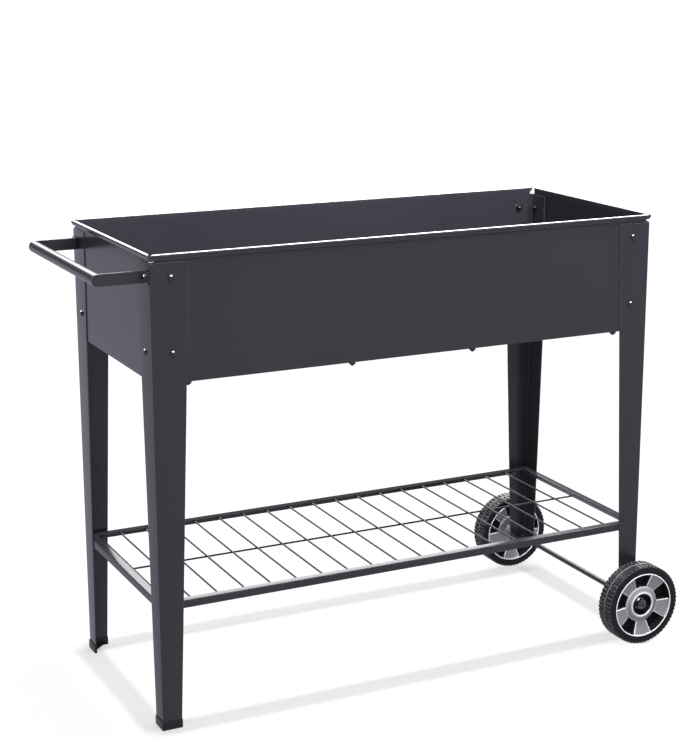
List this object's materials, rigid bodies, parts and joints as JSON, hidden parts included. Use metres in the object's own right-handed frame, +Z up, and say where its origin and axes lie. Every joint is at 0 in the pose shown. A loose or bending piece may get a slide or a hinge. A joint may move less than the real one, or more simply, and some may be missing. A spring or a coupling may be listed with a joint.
{
  "type": "rolling planter",
  "caption": "Raised sheet-metal planting trough on four tapered angle legs, with a wire shelf below, a push handle at one end and two wheels on an axle at the other.",
  "frame": {"origin": "on the floor, under the middle of the bounding box", "axes": "+X along the trough from the handle end to the wheels, +Y from the front to the rear, +Z up"},
  "size_m": [1.089, 0.5, 0.8],
  "materials": {
    "charcoal_paint": "semi-gloss powder coat",
    "black_plastic": "moulded, fine grain",
    "black_rubber": "moulded rubber with a ribbed tread",
    "grey_plastic": "moulded, satin",
    "black_steel": "black plated"
  },
  "bodies": {
    "planter": {"rear_panel": "charcoal_paint", "front_panel": "charcoal_paint", "left_panel": "charcoal_paint", "right_panel": "charcoal_paint", "bottom_panel": "charcoal_paint", "leg_front_left": "charcoal_paint", "leg_rear_left": "charcoal_paint", "leg_front_right": "charcoal_paint", "leg_rear_right": "charcoal_paint", "foot_cap_front_left": "black_plastic", "foot_cap_rear_left": "black_plastic", "shelf_rail_rear": "charcoal_paint", "shelf_rail_front": "charcoal_paint", "shelf_rail_left": "charcoal_paint", "shelf_rail_right": "charcoal_paint", "shelf_wire_mesh": "charcoal_paint", "handle_arm_front": "charcoal_paint", "handle_arm_rear": "charcoal_paint", "handle_grip": "charcoal_paint", "leg_bolt_upper_front_left": "black_steel", "leg_bolt_lower_front_left": "black_steel", "side_bolt_lower_front_left": "black_steel", "shelf_nut_front_left": "black_steel", "handle_bolt_front_left": "black_steel", "leg_bolt_upper_rear_left": "black_steel", "leg_bolt_lower_rear_left": "black_steel", "side_bolt_lower_rear_left": "black_steel", "shelf_nut_rear_left": "black_steel", "handle_bolt_rear_left": "black_steel", "leg_bolt_upper_front_right": "black_steel", "leg_bolt_lower_front_right": "black_steel", "side_bolt_lower_front_right": "black_steel", "shelf_nut_front_right": "black_steel", "side_bolt_upper_front_right": "black_steel", "leg_bolt_upper_rear_right": "black_steel", "leg_bolt_lower_rear_right": "black_steel", "side_bolt_lower_rear_right": "black_steel", "shelf_nut_rear_right": "black_steel", "side_bolt_upper_rear_right": "black_steel", "bottom_bolt_front_1": "black_steel", "bottom_bolt_front_2": "black_steel", "bottom_bolt_front_3": "black_steel", "bottom_bolt_front_4": "black_steel", "bottom_bolt_rear_1": "black_steel", "bottom_bolt_rear_2": "black_steel", "bottom_bolt_rear_3": "black_steel", "bottom_bolt_rear_4": "black_steel", "axle": "black_steel", "inner_washer_front": "black_steel", "outer_washer_front": "black_steel", "axle_nut_front": "black_steel", "inner_washer_rear": "black_steel", "outer_washer_rear": "black_steel", "axle_nut_rear": "black_steel"},
    "front_wheel": {"tyre_front": "black_rubber", "wheel_hub_front": "grey_plastic"},
    "rear_wheel": {"tyre_rear": "black_rubber", "wheel_hub_rear": "grey_plastic"}
  },
  "joints": [
    {"name": "front_wheel_spin", "type": "hinge", "parent": "planter", "child": "front_wheel", "pos_m": [0.469, -0.231, 0.0755], "axis": [0, 1, 0], "continuous": true},
    {"name": "rear_wheel_spin", "type": "hinge", "parent": "planter", "child": "rear_wheel", "pos_m": [0.469, 0.231, 0.0755], "axis": [0, 1, 0], "continuous": true}
  ]
}
